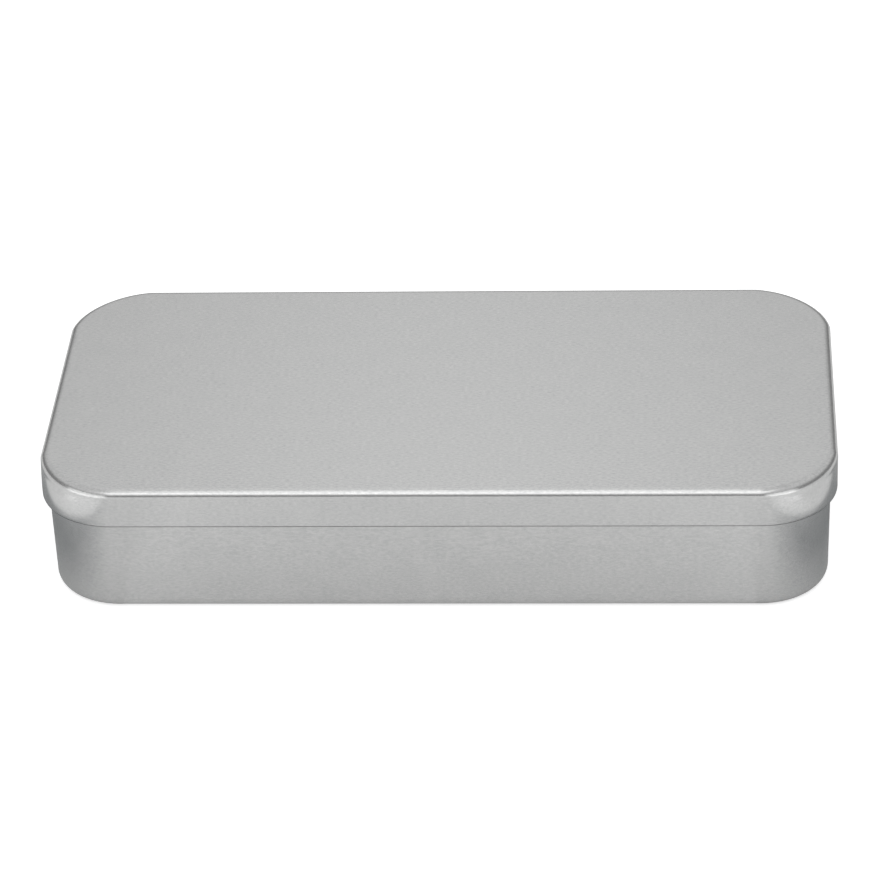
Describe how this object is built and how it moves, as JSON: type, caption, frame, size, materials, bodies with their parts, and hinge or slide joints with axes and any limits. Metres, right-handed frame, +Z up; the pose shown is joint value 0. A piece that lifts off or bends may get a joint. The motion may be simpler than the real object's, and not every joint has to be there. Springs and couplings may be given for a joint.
{
  "type": "hinged tin box",
  "caption": "Flat rectangular tinplate box with rounded corners, a slip-over lid hinged along the rear and a moulded card tray inside.",
  "frame": {"origin": "middle of the flat underside", "axes": "+X along the length, +Y from the front to the rear with the hinges at +Y, +Z up; the lid is closed at rest"},
  "size_m": [0.196, 0.1001, 0.035],
  "materials": {
    "tinplate": "matt silver tinplate",
    "hinge_wire": "drawn wire",
    "tray_plastic": "fine matt moulding texture"
  },
  "bodies": {
    "tin_body": {"base_shell": "tinplate", "insert_tray": "tray_plastic", "hinge_pin_left": "hinge_wire", "hinge_pin_right": "hinge_wire"},
    "lid": {"lid_shell": "tinplate"}
  },
  "joints": [
    {"name": "lid_hinge", "type": "hinge", "parent": "tin_body", "child": "lid", "pos_m": [0, 0.04938, 0.02639], "axis": [-1, 0, 0], "range_deg": [0, 105]}
  ]
}
